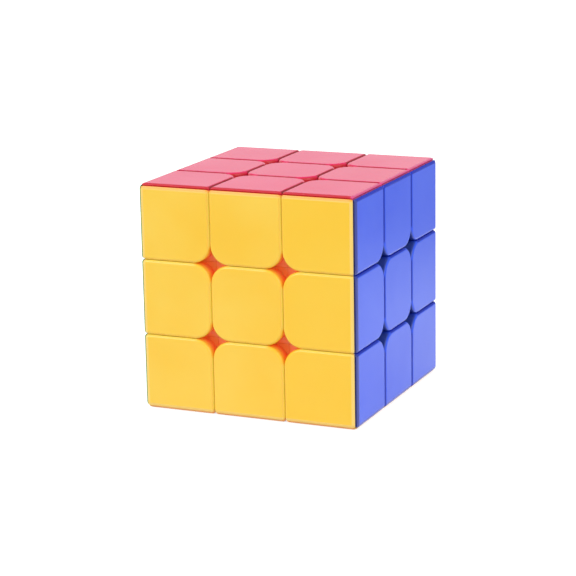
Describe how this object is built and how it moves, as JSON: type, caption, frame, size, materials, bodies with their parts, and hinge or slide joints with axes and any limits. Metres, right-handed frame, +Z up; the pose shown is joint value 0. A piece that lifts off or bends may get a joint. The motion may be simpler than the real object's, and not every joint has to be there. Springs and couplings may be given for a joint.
{
  "type": "twisty puzzle cube",
  "caption": "Three-layer twisty puzzle cube in solid coloured plastic, with faces that turn on a spring-loaded spider core.",
  "frame": {"origin": "middle of the bottom face, on the surface the cube rests on", "axes": "+Z up out of the top (red) face, -Y out of the front (yellow) face, +X out of the right (blue) face; every hinge axis passes through the middle of the cube, 28 mm up"},
  "size_m": [0.056, 0.056, 0.056],
  "materials": {
    "red_plastic": "smooth semi-gloss red plastic, coloured right through",
    "orange_plastic": "smooth semi-gloss orange plastic, coloured right through",
    "yellow_plastic": "smooth semi-gloss yellow plastic, coloured right through",
    "white_plastic": "smooth semi-gloss white plastic, coloured right through",
    "blue_plastic": "smooth semi-gloss blue plastic, coloured right through",
    "green_plastic": "smooth semi-gloss green plastic, coloured right through",
    "core_plastic": "smooth satin white plastic",
    "steel": "plain bright steel, turned and wound",
    "washer_steel": "plain brass, stamped flat"
  },
  "bodies": {
    "core": {"core_spider": "core_plastic", "tension_screws": "steel", "washers": "washer_steel", "springs": "steel"},
    "centre_top": {"centre_top_red": "red_plastic"},
    "centre_bottom": {"centre_bottom_orange": "orange_plastic"},
    "centre_front": {"centre_front_yellow": "yellow_plastic"},
    "centre_back": {"centre_back_white": "white_plastic"},
    "centre_right": {"centre_right_blue": "blue_plastic"},
    "centre_left": {"centre_left_green": "green_plastic"},
    "edge_top_front": {"edge_top_front_red": "red_plastic", "edge_top_front_yellow": "yellow_plastic"},
    "edge_top_back": {"edge_top_back_red": "red_plastic", "edge_top_back_white": "white_plastic"},
    "edge_top_right": {"edge_top_right_red": "red_plastic", "edge_top_right_blue": "blue_plastic"},
    "edge_top_left": {"edge_top_left_red": "red_plastic", "edge_top_left_green": "green_plastic"},
    "edge_bottom_front": {"edge_bottom_front_orange": "orange_plastic", "edge_bottom_front_yellow": "yellow_plastic"},
    "edge_bottom_back": {"edge_bottom_back_orange": "orange_plastic", "edge_bottom_back_white": "white_plastic"},
    "edge_bottom_right": {"edge_bottom_right_orange": "orange_plastic", "edge_bottom_right_blue": "blue_plastic"},
    "edge_bottom_left": {"edge_bottom_left_orange": "orange_plastic", "edge_bottom_left_green": "green_plastic"},
    "edge_front_right": {"edge_front_right_yellow": "yellow_plastic", "edge_front_right_blue": "blue_plastic"},
    "edge_front_left": {"edge_front_left_yellow": "yellow_plastic", "edge_front_left_green": "green_plastic"},
    "edge_back_right": {"edge_back_right_white": "white_plastic", "edge_back_right_blue": "blue_plastic"},
    "edge_back_left": {"edge_back_left_white": "white_plastic", "edge_back_left_green": "green_plastic"},
    "corner_top_front_right": {"corner_top_front_right_red": "red_plastic", "corner_top_front_right_yellow": "yellow_plastic", "corner_top_front_right_blue": "blue_plastic"},
    "corner_top_front_left": {"corner_top_front_left_red": "red_plastic", "corner_top_front_left_yellow": "yellow_plastic", "corner_top_front_left_green": "green_plastic"},
    "corner_top_back_right": {"corner_top_back_right_red": "red_plastic", "corner_top_back_right_white": "white_plastic", "corner_top_back_right_blue": "blue_plastic"},
    "corner_top_back_left": {"corner_top_back_left_red": "red_plastic", "corner_top_back_left_white": "white_plastic", "corner_top_back_left_green": "green_plastic"},
    "corner_bottom_front_right": {"corner_bottom_front_right_orange": "orange_plastic", "corner_bottom_front_right_yellow": "yellow_plastic", "corner_bottom_front_right_blue": "blue_plastic"},
    "corner_bottom_front_left": {"corner_bottom_front_left_orange": "orange_plastic", "corner_bottom_front_left_yellow": "yellow_plastic", "corner_bottom_front_left_green": "green_plastic"},
    "corner_bottom_back_right": {"corner_bottom_back_right_orange": "orange_plastic", "corner_bottom_back_right_white": "white_plastic", "corner_bottom_back_right_blue": "blue_plastic"},
    "corner_bottom_back_left": {"corner_bottom_back_left_orange": "orange_plastic", "corner_bottom_back_left_white": "white_plastic", "corner_bottom_back_left_green": "green_plastic"}
  },
  "joints": [
    {"name": "turn_top", "type": "hinge", "parent": "core", "child": "centre_top", "pos_m": [0, 0, 0.028], "axis": [0, 0, 1], "continuous": true},
    {"name": "turn_bottom", "type": "hinge", "parent": "core", "child": "centre_bottom", "pos_m": [0, 0, 0.028], "axis": [0, 0, -1], "continuous": true},
    {"name": "turn_front", "type": "hinge", "parent": "core", "child": "centre_front", "pos_m": [0, 0, 0.028], "axis": [0, -1, 0], "continuous": true},
    {"name": "turn_back", "type": "hinge", "parent": "core", "child": "centre_back", "pos_m": [0, 0, 0.028], "axis": [0, 1, 0], "continuous": true},
    {"name": "turn_right", "type": "hinge", "parent": "core", "child": "centre_right", "pos_m": [0, 0, 0.028], "axis": [1, 0, 0], "continuous": true},
    {"name": "turn_left", "type": "hinge", "parent": "core", "child": "centre_left", "pos_m": [0, 0, 0.028], "axis": [-1, 0, 0], "continuous": true},
    {"name": "edge_top_front_turn", "type": "hinge", "parent": "centre_top", "child": "edge_top_front", "pos_m": [0, 0, 0.028], "axis": [0, -1, 0], "continuous": true},
    {"name": "edge_top_back_turn", "type": "hinge", "parent": "centre_top", "child": "edge_top_back", "pos_m": [0, 0, 0.028], "axis": [0, 1, 0], "continuous": true},
    {"name": "edge_top_right_turn", "type": "hinge", "parent": "centre_top", "child": "edge_top_right", "pos_m": [0, 0, 0.028], "axis": [1, 0, 0], "continuous": true},
    {"name": "edge_top_left_turn", "type": "hinge", "parent": "centre_top", "child": "edge_top_left", "pos_m": [0, 0, 0.028], "axis": [-1, 0, 0], "continuous": true},
    {"name": "edge_bottom_front_turn", "type": "hinge", "parent": "centre_front", "child": "edge_bottom_front", "pos_m": [0, 0, 0.028], "axis": [0, 0, -1], "continuous": true},
    {"name": "edge_bottom_back_turn", "type": "hinge", "parent": "centre_back", "child": "edge_bottom_back", "pos_m": [0, 0, 0.028], "axis": [0, 0, -1], "continuous": true},
    {"name": "edge_bottom_right_turn", "type": "hinge", "parent": "centre_right", "child": "edge_bottom_right", "pos_m": [0, 0, 0.028], "axis": [0, 0, -1], "continuous": true},
    {"name": "edge_bottom_left_turn", "type": "hinge", "parent": "centre_left", "child": "edge_bottom_left", "pos_m": [0, 0, 0.028], "axis": [0, 0, -1], "continuous": true},
    {"name": "edge_front_right_turn", "type": "hinge", "parent": "centre_front", "child": "edge_front_right", "pos_m": [0, 0, 0.028], "axis": [1, 0, 0], "continuous": true},
    {"name": "edge_front_left_turn", "type": "hinge", "parent": "centre_left", "child": "edge_front_left", "pos_m": [0, 0, 0.028], "axis": [0, -1, 0], "continuous": true},
    {"name": "edge_back_right_turn", "type": "hinge", "parent": "centre_right", "child": "edge_back_right", "pos_m": [0, 0, 0.028], "axis": [0, 1, 0], "continuous": true},
    {"name": "edge_back_left_turn", "type": "hinge", "parent": "centre_back", "child": "edge_back_left", "pos_m": [0, 0, 0.028], "axis": [-1, 0, 0], "continuous": true},
    {"name": "corner_top_front_right_turn", "type": "hinge", "parent": "edge_top_front", "child": "corner_top_front_right", "pos_m": [0, 0, 0.028], "axis": [1, 0, 0], "continuous": true},
    {"name": "corner_top_front_left_turn", "type": "hinge", "parent": "edge_top_front", "child": "corner_top_front_left", "pos_m": [0, 0, 0.028], "axis": [-1, 0, 0], "continuous": true},
    {"name": "corner_top_back_right_turn", "type": "hinge", "parent": "edge_top_back", "child": "corner_top_back_right", "pos_m": [0, 0, 0.028], "axis": [1, 0, 0], "continuous": true},
    {"name": "corner_top_back_left_turn", "type": "hinge", "parent": "edge_top_back", "child": "corner_top_back_left", "pos_m": [0, 0, 0.028], "axis": [-1, 0, 0], "continuous": true},
    {"name": "corner_bottom_front_right_turn", "type": "hinge", "parent": "edge_bottom_front", "child": "corner_bottom_front_right", "pos_m": [0, 0, 0.028], "axis": [1, 0, 0], "continuous": true},
    {"name": "corner_bottom_front_left_turn", "type": "hinge", "parent": "edge_bottom_front", "child": "corner_bottom_front_left", "pos_m": [0, 0, 0.028], "axis": [-1, 0, 0], "continuous": true},
    {"name": "corner_bottom_back_right_turn", "type": "hinge", "parent": "edge_bottom_back", "child": "corner_bottom_back_right", "pos_m": [0, 0, 0.028], "axis": [1, 0, 0], "continuous": true},
    {"name": "corner_bottom_back_left_turn", "type": "hinge", "parent": "edge_bottom_back", "child": "corner_bottom_back_left", "pos_m": [0, 0, 0.028], "axis": [-1, 0, 0], "continuous": true}
  ],
  "couplings": [
    {"joint": "edge_top_front_turn", "follows": "turn_front", "ratio": 1},
    {"joint": "edge_top_back_turn", "follows": "turn_back", "ratio": 1},
    {"joint": "edge_top_right_turn", "follows": "turn_right", "ratio": 1},
    {"joint": "edge_top_left_turn", "follows": "turn_left", "ratio": 1},
    {"joint": "edge_bottom_front_turn", "follows": "turn_bottom", "ratio": 1},
    {"joint": "edge_bottom_back_turn", "follows": "turn_bottom", "ratio": 1},
    {"joint": "edge_bottom_right_turn", "follows": "turn_bottom", "ratio": 1},
    {"joint": "edge_bottom_left_turn", "follows": "turn_bottom", "ratio": 1},
    {"joint": "edge_front_right_turn", "follows": "turn_right", "ratio": 1},
    {"joint": "edge_front_left_turn", "follows": "turn_front", "ratio": 1},
    {"joint": "edge_back_right_turn", "follows": "turn_back", "ratio": 1},
    {"joint": "edge_back_left_turn", "follows": "turn_left", "ratio": 1},
    {"joint": "corner_top_front_right_turn", "follows": "turn_right", "ratio": 1},
    {"joint": "corner_top_front_left_turn", "follows": "turn_left", "ratio": 1},
    {"joint": "corner_top_back_right_turn", "follows": "turn_right", "ratio": 1},
    {"joint": "corner_top_back_left_turn", "follows": "turn_left", "ratio": 1},
    {"joint": "corner_bottom_front_right_turn", "follows": "turn_right", "ratio": 1},
    {"joint": "corner_bottom_front_left_turn", "follows": "turn_left", "ratio": 1},
    {"joint": "corner_bottom_back_right_turn", "follows": "turn_right", "ratio": 1},
    {"joint": "corner_bottom_back_left_turn", "follows": "turn_left", "ratio": 1}
  ]
}
